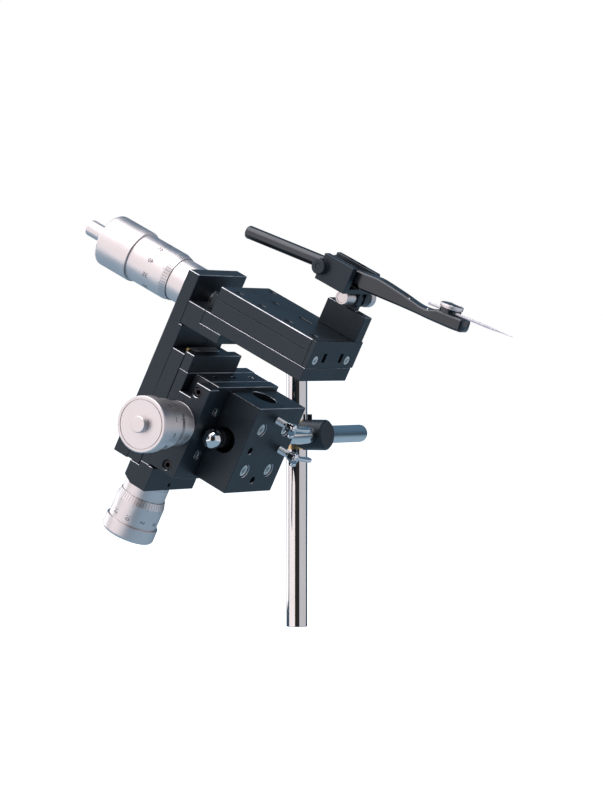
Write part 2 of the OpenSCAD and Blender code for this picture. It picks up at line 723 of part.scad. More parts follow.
module tilt_screw() {
    // silver thumb screw through the fork, with its nut disc on the far side
    color("silver") in_stage() translate([tilt_u, 0, tilt_w]) union() {
        translate([0, -92, 0]) along_v() rotate_extrude()
            polygon([[0, 0], [3.6, 0], [4.1, 0.5], [4.1, 8.6], [3.8, 9], [0, 9]]);
        translate([0, -84, 0]) along_v() cylinder(d = tilt_hole, h = 18);
        translate([0, -67.6, 0]) along_v() rotate_extrude()
            polygon([[0, 0], [4.8, 0], [5.1, 0.3], [5.1, 4.2], [4.7, 4.6], [0, 4.6]]);
    }
}
wall_near = -98.2;
wall_far = -88;
plate_far = -84;
plate_foot = 117;       // underside of the clamp plate
plate_t = 2.3;
module to_pivot() {
    in_holder() translate([pivot_h, 0, -pivot_drop]) children();
}
module holder_head() {
    color([0.16, 0.17, 0.19]) difference() {
        union() {
            in_stage() span([head_rear, head_near, head_floor], [head_front, wall_near, head_top]);
            in_stage() span([head_rear - 3, wall_far, head_floor], [head_front, plate_far, plate_foot]);
            in_stage() span([head_rear, head_near, head_floor],
                [head_front, head_far + 0.2, head_floor + 2.6]);
            to_pivot() translate([0, head_near - holder_v - boss_proud, 0]) along_v()
                cylinder(r = 3.7, h = wall_near - head_near + 2 * boss_proud);
            in_stage() for (v = [-82.2, -75.1]) translate([tilt_u, v, 0]) {
                translate([0, 0, tilt_w]) along_v() cylinder(r = 5, h = cheek_t);
                span([-4.8, 0, tilt_w + 0.5], [4.8, cheek_t, head_floor + 1]);
            }
            in_stage() translate([tilt_u, -73.5, tilt_w]) along_v() cylinder(r = 4.6, h = 5.6);
        }
        in_stage() translate([tilt_u, -90, tilt_w]) along_v() cylinder(r = tilt_hole / 2 + fit, h = 30);
        to_pivot() translate([0, -15, 0]) along_v() cylinder(r = pivot_r + fit, h = 24);
        plate_screw_places() translate([0, 0, -6]) cylinder(d = 1.6, h = 10);
    }
}
pivot_r = 1.5;
boss_proud = 0.4;
module pivot_screw() {
    // black knurled head on the near wall, shank through the holder
    color([0.12, 0.12, 0.14]) to_pivot()
        translate([0, head_near - holder_v - boss_proud - gap, 0]) union() {
        back_v() rotate_extrude() polygon([[0, 0], [4, 0], [4.2, 0.3], [4.2, 2.5], [3.8, 3], [0, 3]]);
        along_v() cylinder(r = pivot_r, h = 19.4);
    }
}
module plate_screw_places() {
    for (u = [21.5, 31]) in_stage() translate([u, (wall_far + plate_far) / 2, plate_foot]) children();
}
module clamp_plate() {
    color([0.13, 0.14, 0.17]) difference() {
        in_stage() translate([0, plate_far, plate_foot]) rotate([90, 0, 0])
            linear_extrude(plate_far - wall_far)
                polygon([[13.4, 0], [41.2, 0], [41.2, plate_t - 0.6], [40.6, plate_t], [13.4, plate_t]]);
        plate_screw_places() translate([0, 0, -1]) cylinder(d = 1.6, h = 8);
        plate_screw_places() translate([0, 0, 1.1]) cylinder(d = 3, h = 8);
    }
}
module clamp_plate_screws() {
    color([0.1, 0.1, 0.12]) plate_screw_places() translate([0, 0, 2.1]) cap_screw(1.6, 5, 1);
}

// ---- electrode holder, seen from the side: h forward, n up ----
body_t = 8;
paddle_near = -5.2;
paddle_far = 6.9;
boss_top = 2.3;
module body_side() {
    polygon([[-1, -3.75], [25.5, -3.75], [25.5, -5.7], [54, -5.9], [70, -6.3], [86.5, -6.6],
        [92, -6.4], [93.2, -5.6], [93.6, -3], [92.6, 0.2], [91.4, 0.6], [76, 0.6], [73.5, -0.1],
        [70, -1.2], [64, -1.1], [58, 0.1], [45, 2.6], [36, 4], [28, 3.9], [20, 3.75], [-1, 3.75]]);
}
module body_plan() {
    polygon([[-2, -body_t / 2], [62, -body_t / 2], [73, paddle_near], [91.2, paddle_near],
        [92.9, -4], [93.6, -1.5], [93.5, 1], [92.6, 4], [91, 6], [88.5, paddle_far],
        [73, paddle_far], [62, body_t / 2], [-2, body_t / 2]]);
}
module holder_body() {
    color([0.13, 0.13, 0.15]) in_holder() difference() {
        union() {
            intersection() {
                translate([0, 8, 0]) rotate([90, 0, 0]) linear_extrude(16) body_side();
                translate([0, 0, -8]) linear_extrude(16) body_plan();
            }
            translate([nut_at, nut_v, -1]) cylinder(r = 5.9, h = boss_top + 1);
            translate([-holder_rod_l, 0, 0]) along_u() rotate_extrude()
                polygon([[0, 0], [holder_rod_d / 2 - 1, 0], [holder_rod_d / 2 - 0.3, 0.3],
                    [holder_rod_d / 2, 1], [holder_rod_d / 2, holder_rod_l + 2], [0, holder_rod_l + 2]]);
        }
        translate([60, glass_v, glass_n]) along_u() cylinder(r = glass_d / 2 + fit, h = 40);
        translate([60, glass_v - glass_d / 2 - fit, glass_n]) cube([40, glass_d + 2 * fit, 6]);
        translate([nut_at, nut_v, -nut_deep]) cylinder(r = nut_shank_r + fit, h = 10);
        translate([pivot_h, -10, -pivot_drop]) along_v() cylinder(r = pivot_r + fit, h = 20);
    }
}
module glass_electrode() {
    color("azure") in_holder() translate([68.5, glass_v, glass_n]) along_u() rotate_extrude($fn = 32)
        polygon([[0, 0], [glass_d / 2, 0], [glass_d / 2, glass_l - 16], [0.12, glass_l], [0, glass_l]]);
}
nut_deep = 5;
nut_shank_r = 1.2;
module thumb_nut() {
    // thumb screw: shank, collar that presses on the glass, wider grip rim
    low = glass_n + glass_d / 2 + fit;
    color("silver") in_holder() translate([nut_at, nut_v, low]) union() {
        rotate_extrude() polygon([[0, 0], [5.9, 0], [5.9, 0.5], [nut_d / 2 - 0.1, 0.5],
            [nut_d / 2, 0.7], [nut_d / 2, 2.4], [nut_d / 2 - 0.4, 2.8], [0, 2.8]]);
        translate([0, 0, 0.1 - low - nut_deep]) cylinder(r = nut_shank_r, h = nut_deep + low);
    }
}

pole();
pole_liner();
clamp_barrel();
pole_clamp_screw();
clamp_pad();
rod_set_screw();
clamp_rod();
rod_ball();
rod_block();
block_cap_screws();
wing_screw_rod();
wing_screw_post();
cross_base();
cross_rails();
cross_rail_screws();
cross_end_block();
end_block_screws();
cross_gib();
cross_gib_screws();
cross_sleeve();
cross_carriage();
cross_spindle();
cross_thimble();
cross_ring();
cross_button();
guide_cap();
foot_block();
column_guide();
stop_screw();
column_sleeve();
column_slide();
column_gib();
column_plate();
column_screws();
column_spindle();
column_thimble();
column_ring();
arm_bracket();
arm_base();
arm_guide();
arm_sleeve();
arm_carriage();
arm_top_plate();
top_plate_screws();
arm_end_plate();
end_plate_screws();
arm_spindle();
arm_thimble();
arm_ring();
arm_ratchet();
post();
post_screws();
tilt_screw();
holder_head();
clamp_plate();
clamp_plate_screws();
pivot_screw();
holder_body();
glass_electrode();
thumb_nut();
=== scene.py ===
import json
import math

import bmesh
import bpy
from mathutils import Matrix, Vector

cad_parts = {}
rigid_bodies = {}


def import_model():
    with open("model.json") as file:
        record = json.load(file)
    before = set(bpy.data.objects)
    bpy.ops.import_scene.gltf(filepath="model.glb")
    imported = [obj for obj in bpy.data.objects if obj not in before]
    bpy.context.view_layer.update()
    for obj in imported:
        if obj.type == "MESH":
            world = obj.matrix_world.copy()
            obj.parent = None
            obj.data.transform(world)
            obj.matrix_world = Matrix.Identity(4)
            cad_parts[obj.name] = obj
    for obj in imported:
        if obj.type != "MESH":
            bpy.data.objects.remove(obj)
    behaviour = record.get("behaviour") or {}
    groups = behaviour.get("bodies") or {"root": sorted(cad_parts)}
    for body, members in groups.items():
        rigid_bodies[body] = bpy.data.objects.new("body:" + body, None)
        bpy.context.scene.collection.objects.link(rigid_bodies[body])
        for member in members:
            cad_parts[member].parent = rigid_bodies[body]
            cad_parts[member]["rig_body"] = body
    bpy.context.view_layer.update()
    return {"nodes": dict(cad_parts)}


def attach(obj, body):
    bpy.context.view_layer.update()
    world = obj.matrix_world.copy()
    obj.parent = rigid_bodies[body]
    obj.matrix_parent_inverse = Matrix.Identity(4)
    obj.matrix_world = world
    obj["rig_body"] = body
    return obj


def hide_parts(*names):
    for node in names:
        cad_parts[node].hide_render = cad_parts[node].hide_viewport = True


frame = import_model()

# ---- Pole ----
# The upright that the whole instrument hangs on: a drawn steel rod, ground,
# chromed and polished. Its ends are chamfered and its foot is tapped for a stud.
MM = 0.001
POLE_R = 6
POLE_H = 150
PATCHES_PER_METRE = 85


def lathe(bm, outline, around=96, finish=0, closed=False):
    """Turns an outline of (radius, height) points in millimetres about Z."""
    before = set(bm.faces)
    verts = [bm.verts.new((r * MM, 0, z * MM)) for r, z in outline]
    pairs = list(zip(verts, verts[1:])) + ([(verts[-1], verts[0])] if closed else [])
    edges = [bm.edges.new(pair) for pair in pairs]
    bmesh.ops.spin(
        bm, geom=verts + edges, cent=(0, 0, 0), axis=(0, 0, 1), angle=math.tau,
        steps=around, use_merge=True, use_duplicate=False,
    )
    made = [f for f in bm.faces if f not in before]
    for face in made:
        face.material_index = finish
    return made


def coat(name, colour, metallic, roughness, grain, depth, turned=False, patchy=0.12):
    """A surface finish. Its colour and gloss drift a little over the piece.

    A fine grain roughens it, or the rings that the tool leaves where it is turned."""
    mat = bpy.data.materials.new(name)
    mat.use_nodes = True
    nodes, wire = mat.node_tree.nodes, mat.node_tree.links.new
    shader = nodes["Principled BSDF"]
    shader.inputs["Metallic"].default_value = metallic
    where = nodes.new("ShaderNodeTexCoord")
    cloud = nodes.new("ShaderNodeTexNoise")
    cloud.inputs["Scale"].default_value = PATCHES_PER_METRE
    cloud.inputs["Detail"].default_value = 4
    wire(where.outputs["Object"], cloud.inputs["Vector"])
    tint = nodes.new("ShaderNodeValToRGB")
    for end, place, share in ((0, 0.32, 1 - patchy), (1, 0.68, 1 + patchy)):
        tint.color_ramp.elements[end].position = place
        tint.color_ramp.elements[end].color = [c * share for c in colour] + [1]
    wire(cloud.outputs["Fac"], tint.inputs["Fac"])
    wire(tint.outputs["Color"], shader.inputs["Base Color"])
    gloss = nodes.new("ShaderNodeMapRange")
    gloss.inputs["From Min"].default_value = 0.3
    gloss.inputs["From Max"].default_value = 0.7
    gloss.inputs["To Min"].default_value = roughness * 0.85
    gloss.inputs["To Max"].default_value = roughness * 1.15
    wire(cloud.outputs["Fac"], gloss.inputs["Value"])
    wire(gloss.outputs["Result"], shader.inputs["Roughness"])
    fine = nodes.new("ShaderNodeTexNoise")
    fine.inputs["Detail"].default_value = 3
    fine.inputs["Scale"].default_value = 1 / (grain * MM)
    if turned:
        # the tool leaves rings: they change along the axis and out from it, never around it
        own = nodes.new("ShaderNodeAttribute")
        own.attribute_name = "own_place"
        flat = nodes.new("ShaderNodeVectorMath")
        flat.operation = "MULTIPLY"
        flat.inputs[1].default_value = (1, 1, 0)
        out = nodes.new("ShaderNodeVectorMath")
        out.operation = "LENGTH"
        split = nodes.new("ShaderNodeSeparateXYZ")
        add = nodes.new("ShaderNodeMath")
        wire(own.outputs["Vector"], flat.inputs[0])
        wire(flat.outputs["Vector"], out.inputs[0])
        wire(own.outputs["Vector"], split.inputs["Vector"])
        wire(out.outputs["Value"], add.inputs[0])
        wire(split.outputs["Z"], add.inputs[1])
        fine.noise_dimensions = "1D"
        wire(add.outputs["Value"], fine.inputs["W"])
    else:
        wire(where.outputs["Object"], fine.inputs["Vector"])
    bump = nodes.new("ShaderNodeBump")
    bump.inputs["Strength"].default_value = 1
    bump.inputs["Distance"].default_value = depth * MM
    wire(fine.outputs["Fac"], bump.inputs["Height"])
    wire(bump.outputs["Normal"], shader.inputs["Normal"])
    return mat


def finished(bm, name, place, nodes, coats, crease=30, painted=None):
    """Puts a made shape where the frame has it and hands it over in place of the frame's nodes."""
    on_axis = [v for v in bm.verts if v.co.xy.length < 1e-7]
    bmesh.ops.remove_doubles(bm, verts=on_axis, dist=1e-7)
    bmesh.ops.recalc_face_normals(bm, faces=bm.faces)
    for face in bm.faces:
        if painted is not None and face.material_index == painted:
            middle = face.calc_center_median()
            if face.normal.dot(Vector((middle.x, middle.y, 0))) < 0:
                face.normal_flip()
    own = bm.verts.layers.float_vector.new("own_place")
    for v in bm.verts:
        v[own] = v.co
    bmesh.ops.transform(bm, matrix=place, verts=bm.verts)
    for face in bm.faces:
        face.smooth = True
    for e in bm.edges:
        e.smooth = e.is_manifold and e.calc_face_angle(0) < math.radians(crease)
    mesh = bpy.data.meshes.new(name)
    bm.to_mesh(mesh)
    bm.free()
    if "custom_normal" in mesh.attributes:
        mesh.attributes.remove(mesh.attributes["custom_normal"])
    for finish in coats:
        mesh.materials.append(finish)
    piece = bpy.data.objects.new(name, mesh)
    bpy.context.scene.collection.objects.link(piece)
    piece.modifiers.new("even shading", "WEIGHTED_NORMAL").keep_sharp = True
    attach(piece, frame["nodes"][nodes[0]]["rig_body"])
    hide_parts(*nodes)
    return piece


chrome = coat("polished chrome", (0.74, 0.74, 0.75), 1, 0.06, 0.6, 0.0006, patchy=0.03)
bm = bmesh.new()
lathe(bm, [
    (0, 12), (2.5, 12), (2.5, 0.4), (2.9, 0), (5.5, 0), (5.85, 0.15), (6, 0.5), (POLE_R, POLE_H - 1),
    (5.85, POLE_H - 0.5), (5.3, POLE_H - 0.1), (5, POLE_H), (1.6, POLE_H), (1.2, POLE_H - 0.6),
    (0, POLE_H - 0.6),
])
finished(bm, "pole", Matrix.Identity(4), ["pole"], [chrome])

# ---- Cross clamp ----
# A black barrel with two crossed bores grips the pole and the clamp rod. A brass
# liner guides it on the pole, a knurled knob drives a brass pad against the pole,
# and a grub screw holds the rod.
ROD_X = 12.4
ROD_Z = 109.3
BARREL_REAR = -13
THREAD_DEPTH = 0.56


def kept(node, finish):
    """A frame node whose shape is right gets its real finish."""
    mesh = frame["nodes"][node].data
    mesh.materials.clear()
    mesh.materials.append(finish)


def milled(node, edge, coats, corner=28, wear_and_highlight=None, name=None):
    """A milled block: the frame's own shape, merged, with every sharp edge broken by a chamfer.

    The last argument tells from a chamfer's direction and its place in stage millimetres whether
    it takes the bright bare metal finish: a painted highlight on chamfers that face up into the light, and
    wear round screw mouths."""
    bm = bmesh.new()
    bm.from_mesh(frame["nodes"][node].data)
    bmesh.ops.remove_doubles(bm, verts=bm.verts, dist=2e-6)
    bmesh.ops.dissolve_limit(
        bm, angle_limit=math.radians(0.5), use_dissolve_boundaries=False,
        verts=bm.verts, edges=bm.edges,
    )
    for face in bm.faces:
        face.material_index = 0
    sharp = [e for e in bm.edges if e.is_manifold and e.calc_face_angle(0) > math.radians(corner)]
    bmesh.ops.bevel(
        bm, geom=sharp, offset=edge * MM, offset_type="OFFSET", segments=1, profile=0.5,
        affect="EDGES", clamp_overlap=False, material=1,
    )
    bm.normal_update()
    # painted highlight: the chamfers that the rule picks, mostly those facing up into the light, take the
    # bright metal finish
    if wear_and_highlight:
        for face in bm.faces:
            if face.material_index == 1:
                way = STAGE.to_3x3().inverted() @ face.normal
                spot = STAGE.inverted() @ face.calc_center_median() / MM
                if wear_and_highlight(way, spot):
                    face.material_index = 2
    finished(bm, name or node, Matrix.Identity(4), [node], coats, crease=25)


def knurl(bm, radius, low, high, around, depth):
    """Cuts straight grooves into a turned rim by pulling every other line of points in."""
    for v in bm.verts:
        r = v.co.xy.length
        if low * MM - 1e-7 <= v.co.z <= high * MM + 1e-7 and r > (radius - 0.02) * MM:
            if round(math.atan2(v.co.y, v.co.x) / (math.tau / around)) % 2:
                v.co.xy *= 1 - depth * MM / r


def thread(radius, low, high, pitch):
    """The outline of a screw thread."""
    turns = int((high - low) / pitch)
    step = (high - low) / turns
    root = radius - THREAD_DEPTH * pitch
    line = []
    for i in range(turns):
        line += [(radius, low + (i + 0.15) * step), (root, low + (i + 0.6) * step)]
    return line + [(radius, high)]


def socket(bm, across, top, deep, finish=0):
    """Closes the open top of a turned screw round a hexagon socket."""
    rim = [e for e in bm.edges if e.is_boundary and abs(e.verts[0].co.z - top * MM) < 1e-7]
    place = Matrix.Translation((0, 0, top * MM))
    made = bmesh.ops.create_circle(bm, cap_ends=False, segments=6, radius=across * MM / 2, matrix=place)
    sides = list({e for v in made["verts"] for e in v.link_edges})
    bmesh.ops.bridge_loops(bm, edges=rim + sides)
    walls = bmesh.ops.extrude_edge_only(bm, edges=sides)["geom"]
    low = [v for v in walls if isinstance(v, bmesh.types.BMVert)]
    bmesh.ops.translate(bm, vec=(0, 0, -deep * MM), verts=low)
    bmesh.ops.contextual_create(bm, geom=low)


anodised = coat("black anodised aluminium", (0.012, 0.016, 0.021), 0, 0.4, 0.12, 0.006)
anodised_edge = coat("rubbed anodised edge", (0.035, 0.038, 0.045), 0.3, 0.3, 0.2, 0.003)
# A bright bare metal finish for chamfers. Round screw mouths it is wear; on chamfers that face up into the
# light it is a painted highlight.
bare_edge_and_highlight = coat(
    "bare metal edge and painted highlight", (0.42, 0.43, 0.46), 1, 0.33, 0.3, 0.003, patchy=0.4)
brass = coat("brass", (0.76, 0.58, 0.31), 1, 0.3, 0.25, 0.003)
oxide = coat("black oxide steel", (0.03, 0.03, 0.034), 0.7, 0.32, 0.2, 0.003)
for finish in (anodised, anodised_edge):
    # the dye takes the warmth out of what it mirrors
    shine = finish.node_tree.nodes["Principled BSDF"].inputs
    shine["Specular Tint"].default_value = (0.68, 0.84, 0.95, 1)
kept("pole_liner", brass)
kept("clamp_pad", brass)
STAGE = Matrix.Translation((ROD_X * MM, 0, ROD_Z * MM)) @ Matrix.Rotation(math.radians(26.6), 4, "Y")
milled("clamp_barrel", 0.25, [anodised, anodised_edge])
bm = bmesh.new()
lathe(bm, [
    (0, -4), (1.7, -4), (2, -3.7), (2, 0.3), (3.3, 0.3), (3.5, 0.5), (3.5, 2.2), (3.8, 2.35), (5.9, 2.8),
    (6.5, 3.3), (6.5, 10.3), (6.1, 10.9), (5.6, 11.25), (4.7, 11.3), (4.5, 11.05), (1.2, 11.05),
    (0.9, 10.7), (0, 10.7),
], around=120)
knurl(bm, 6.5, 3.3, 10.3, 120, 0.22)
knob_place = Matrix.Translation((BARREL_REAR * MM, 0, ROD_Z * MM)) @ Matrix.Rotation(-math.pi / 2, 4, "Y")
finished(bm, "pole_clamp_knob", knob_place, ["pole_clamp_screw"], [anodised])
bm = bmesh.new()
lathe(bm, [(0, 4.44), (0.9, 4.44)] + thread(1.5, 4.9, 11.3, 0.5) + [(1.2, 11.7), (1.0, 11.7)], around=48)
socket(bm, 1.7, 11.7, 2)
grub_place = Matrix.Translation((8.5 * MM, 0, ROD_Z * MM))
finished(bm, "rod_grub_screw", grub_place, ["rod_set_screw"], [oxide])

# ---- Clamp rod and ball ----
# The chromed rod runs from the clamp through the block. Its far end is rounded, its
# near end out in front of the block is black, and a polished ball is pressed into that.
ALONG_V = Matrix.Rotation(-math.pi / 2, 4, "X")
BALL_V = -109.6
BALL_R = 5.7
BLACK_END = -97
rod_place = Matrix.Translation((ROD_X * MM, 0, ROD_Z * MM)) @ ALONG_V
bm = bmesh.new()
lathe(bm, [
    (0, -96.5), (2, -96.5), (2, -104.5), (4.4, -104.5), (4.85, -104.35), (5, -104), (5, BLACK_END),
    (5, 49.5), (4.9, 50.4), (4.5, 51.2), (3.8, 51.75), (2.9, 52), (0.9, 52), (0.6, 51.6), (0, 51.4),
])
# the stretch in front of the block, up to the ball, takes the black oxide finish
for face in bm.faces:
    face.material_index = 1 if face.calc_center_median().z < BLACK_END * MM else 0
finished(bm, "clamp_rod", rod_place, ["clamp_rod"], [chrome, oxide])
bm = bmesh.new()
arc = [math.radians(-90 + 153.5 * i / 32) for i in range(33)]
lathe(bm, [(BALL_R * math.cos(t), BALL_V + BALL_R * math.sin(t)) for t in arc]
      + [(2.3, -104.5), (2, -104.4), (2, -97.5), (0, -97.5)])
finished(bm, "rod_ball", rod_place, ["rod_ball"], [chrome])

# ---- Rod block and its screws ----
# A milled block that is bored through for the clamp rod and once more upright.
# Four socket screws tie it to the cross stage, and two chromed wing screws lock it.
TO_U = Matrix.Rotation(math.pi / 2, 4, "Y")
BACK_U = Matrix.Rotation(-math.pi / 2, 4, "Y")
BACK_V = Matrix.Rotation(math.pi / 2, 4, "X")
DOWN_W = Matrix.Rotation(math.pi, 4, "X")
BLOCK_V = -77.5
SPREAD = 12.5
WING_T = 1.8


def at(u, v, w):
    """A shift in stage millimetres."""
    return Matrix.Translation((u * MM, v * MM, w * MM))


def socket_screws(name, node, finish, d, length, head, places):
    """Socket head screws of one size, each with its head's top at its place."""
    one = bmesh.new()
    top = d * 0.875
    hexagon = d * 0.95
    tip = -head - length
    lathe(one, [
        (0, tip), (d / 2 - 0.3, tip), (d / 2, tip + 0.3), (d / 2, -head),
        (top - 0.1, -head), (top, -head + 0.1), (top, -0.3), (top - 0.12, -0.1), (top - 0.35, 0),
        (hexagon / 2 + 0.3, 0), (hexagon / 2 + 0.12, -0.12),
    ], around=40)
    socket(one, hexagon, -0.12, head * 0.6)
    shape = bpy.data.meshes.new(name)
    one.to_mesh(shape)
    one.free()
    bm = bmesh.new()
    for place in places:
        old = set(bm.verts)
        bm.from_mesh(shape)
        bmesh.ops.transform(bm, matrix=place, verts=[v for v in bm.verts if v not in old])
    finished(bm, name, STAGE, [node], [finish])


# Painted highlight: every chamfer that faces up takes the bright metal finish, where the light from above
# catches it.
def up_facing(way, spot):
    return way.z > 0.55


def block_bright(way, spot):
    """Bare metal round the mouths of its four screws on the front, and on every chamfer that faces up a
    painted highlight.
    """
    for a in (-1, 1):
        for b in (-1, 1):
            off = Vector((spot.y - BLOCK_V - a * SPREAD, spot.z - b * SPREAD))
            if off.length_squared < 20 and spot.x > 14.5:
                return True
    return way.z > 0.55


steel = coat("plain steel", (0.66, 0.66, 0.65), 1, 0.36, 0.2, 0.002, patchy=0.08)
milled("rod_block", 0.3, [anodised, anodised_edge, bare_edge_and_highlight], wear_and_highlight=block_bright)
socket_screws("block_cap_screws", "block_cap_screws", steel, 4, 21.5, 4, [
    at(14.9, BLOCK_V + a * SPREAD, b * SPREAD) @ TO_U for a in (-1, 1) for b in (-1, 1)])
for node, place, tip in (
    ("wing_screw_rod", at(0, BLOCK_V + 15.5, 0) @ Matrix.Rotation(math.radians(8), 4, "X"), 5.05),
    ("wing_screw_post", at(0, BLOCK_V, 18.3) @ Matrix.Rotation(math.radians(12), 4, "X"), 9.35),
):
    bm = bmesh.new()
    lathe(bm, [(0, tip), (1.3, tip)] + thread(2, tip + 0.6, 22.4, 0.7) + [
        (2.5, 22.5), (2.65, 22.8), (3.2, 26), (3.2, 26.8), (2.6, 27.4), (1.6, 27.7), (0, 27.8)], around=40)
    for turn in (0, math.pi):
        wing = [
            (22.4, 0.6), (24.4, 2.5), (25.8, 4.1), (27, 6.1), (27.7, 8.1), (28.7, 9.5), (30, 10),
            (31.2, 9.5), (32, 8.1), (31.8, 6.6), (30.9, 5.1), (29.4, 3.2), (28, 1.4), (27.4, 0.4),
        ]
        flat = bm.faces.new([bm.verts.new((-WING_T / 2 * MM, y * MM, u * MM)) for u, y in wing])
        thick = bmesh.ops.extrude_face_region(bm, geom=[flat])["geom"]
        lifted = [v for v in thick if isinstance(v, bmesh.types.BMVert)]
        bmesh.ops.translate(bm, vec=(WING_T * MM, 0, 0), verts=lifted)
        sides = [flat] + [g for g in thick if isinstance(g, bmesh.types.BMFace)]
        blade = list({e for f in sides for e in f.edges})
        points = {v for e in blade for v in e.verts}
        bmesh.ops.rotate(bm, cent=(0, 0, 0), matrix=Matrix.Rotation(turn, 3, "Z"), verts=list(points))
        bmesh.ops.bevel(bm, geom=blade, offset=0.55 * MM, offset_type="OFFSET", segments=3, profile=0.5,
                        affect="EDGES", clamp_overlap=True, material=-1)
    finished(bm, node, STAGE @ place @ TO_U, [node], [chrome], crease=50)

# ---- Cross stage ----
# A base plate bolted to the block carries two dovetail rails and an end block. The
# carriage slides between the rails against a brass gib that three grub screws set.
END_V = -123
CROSS_V = -83
STAGE_V = -96.5
fine_edge = [anodised, anodised_edge, bare_edge_and_highlight]
milled("cross_base", 0.25, fine_edge, wear_and_highlight=up_facing)
milled("cross_rails", 0.2, fine_edge, wear_and_highlight=up_facing)
milled("cross_end_block", 0.3, fine_edge, wear_and_highlight=up_facing)
milled("cross_carriage", 0.25, fine_edge, wear_and_highlight=up_facing)
kept("cross_gib", brass)
milled("cross_gib_screws", 0.15, [oxide, steel])
socket_screws("cross_rail_screws", "cross_rail_screws", steel, 3, 3.5, 2, [
    at(-6.4, CROSS_V + a * 24.5, b * 13) @ TO_U for a in (-1, 1) for b in (-1, 1)])
socket_screws("end_block_screws", "end_block_screws", oxide, 3, 9, 2.6, [
    at(-12.3, END_V + 0.8, s * 22) @ BACK_V for s in (-1, 1)])

# ---- Micrometer heads ----
# Three large heads of satin chromed steel, one for each axis: a fixed sleeve, a
# thimble with fifty marks on its bevel and a number at every fifth, a wide grip
# ring, and a button or a ratchet on the end. The marks are filled with black paint.
SLEEVE_R = 12.25
THIMBLE_R = 13.8
BORE_R = 12.55
FONT_TO_DIGIT = 1.42
FIRST_MARK = 2.2
HALF_TURN = 0.5
satin = coat(
    "satin chrome", (0.72, 0.685, 0.69), 1, 0.4, 0.35, 0.004, turned=True, patchy=0.03)
paint = coat("black filling paint", (0.03, 0.03, 0.035), 0, 0.6, 0.2, 0.002)


def stroke(bm, radius, angle, low, high, wide, lean=0.0):
    """One painted mark along a drum, or up its bevel where lean is the bevel's angle."""
    place = Matrix.Rotation(angle, 4, "Z") @ Matrix.Translation((radius * MM, 0, (low + high) / 2 * MM))
    place @= Matrix.Rotation(lean + math.pi / 2, 4, "Y")
    place @= Matrix.Diagonal(((high - low) * MM, wide * MM, 1, 1))
    made = bmesh.ops.create_grid(bm, x_segments=1, y_segments=1, size=0.5, matrix=place)["verts"]
    for face in {f for v in made for f in v.link_faces}:
        face.material_index = 1


def number(bm, text, tall, radius, angle, along):
    """A painted number bent round a drum and read along its axis."""
    words = bpy.data.curves.new("number", "FONT")
    words.body = text
    words.size = tall * MM * FONT_TO_DIGIT
    words.align_x = "CENTER"
    words.align_y = "CENTER"
    words.resolution_u = 3
    holder = bpy.data.objects.new("number", words)
    bpy.context.scene.collection.objects.link(holder)
    bpy.context.view_layer.update()
    flat = bpy.data.meshes.new_from_object(holder)
    bpy.data.objects.remove(holder)
    old = set(bm.verts)
    bm.from_mesh(flat)
    fresh = [v for v in bm.verts if v not in old]
    proud = (radius + 0.05) * MM
    for v in fresh:
        turn = angle + v.co.y / (radius * MM)
        v.co = (proud * math.cos(turn), proud * math.sin(turn), along * MM + v.co.x)
    for face in {f for v in fresh for f in v.link_faces}:
        face.material_index = 1


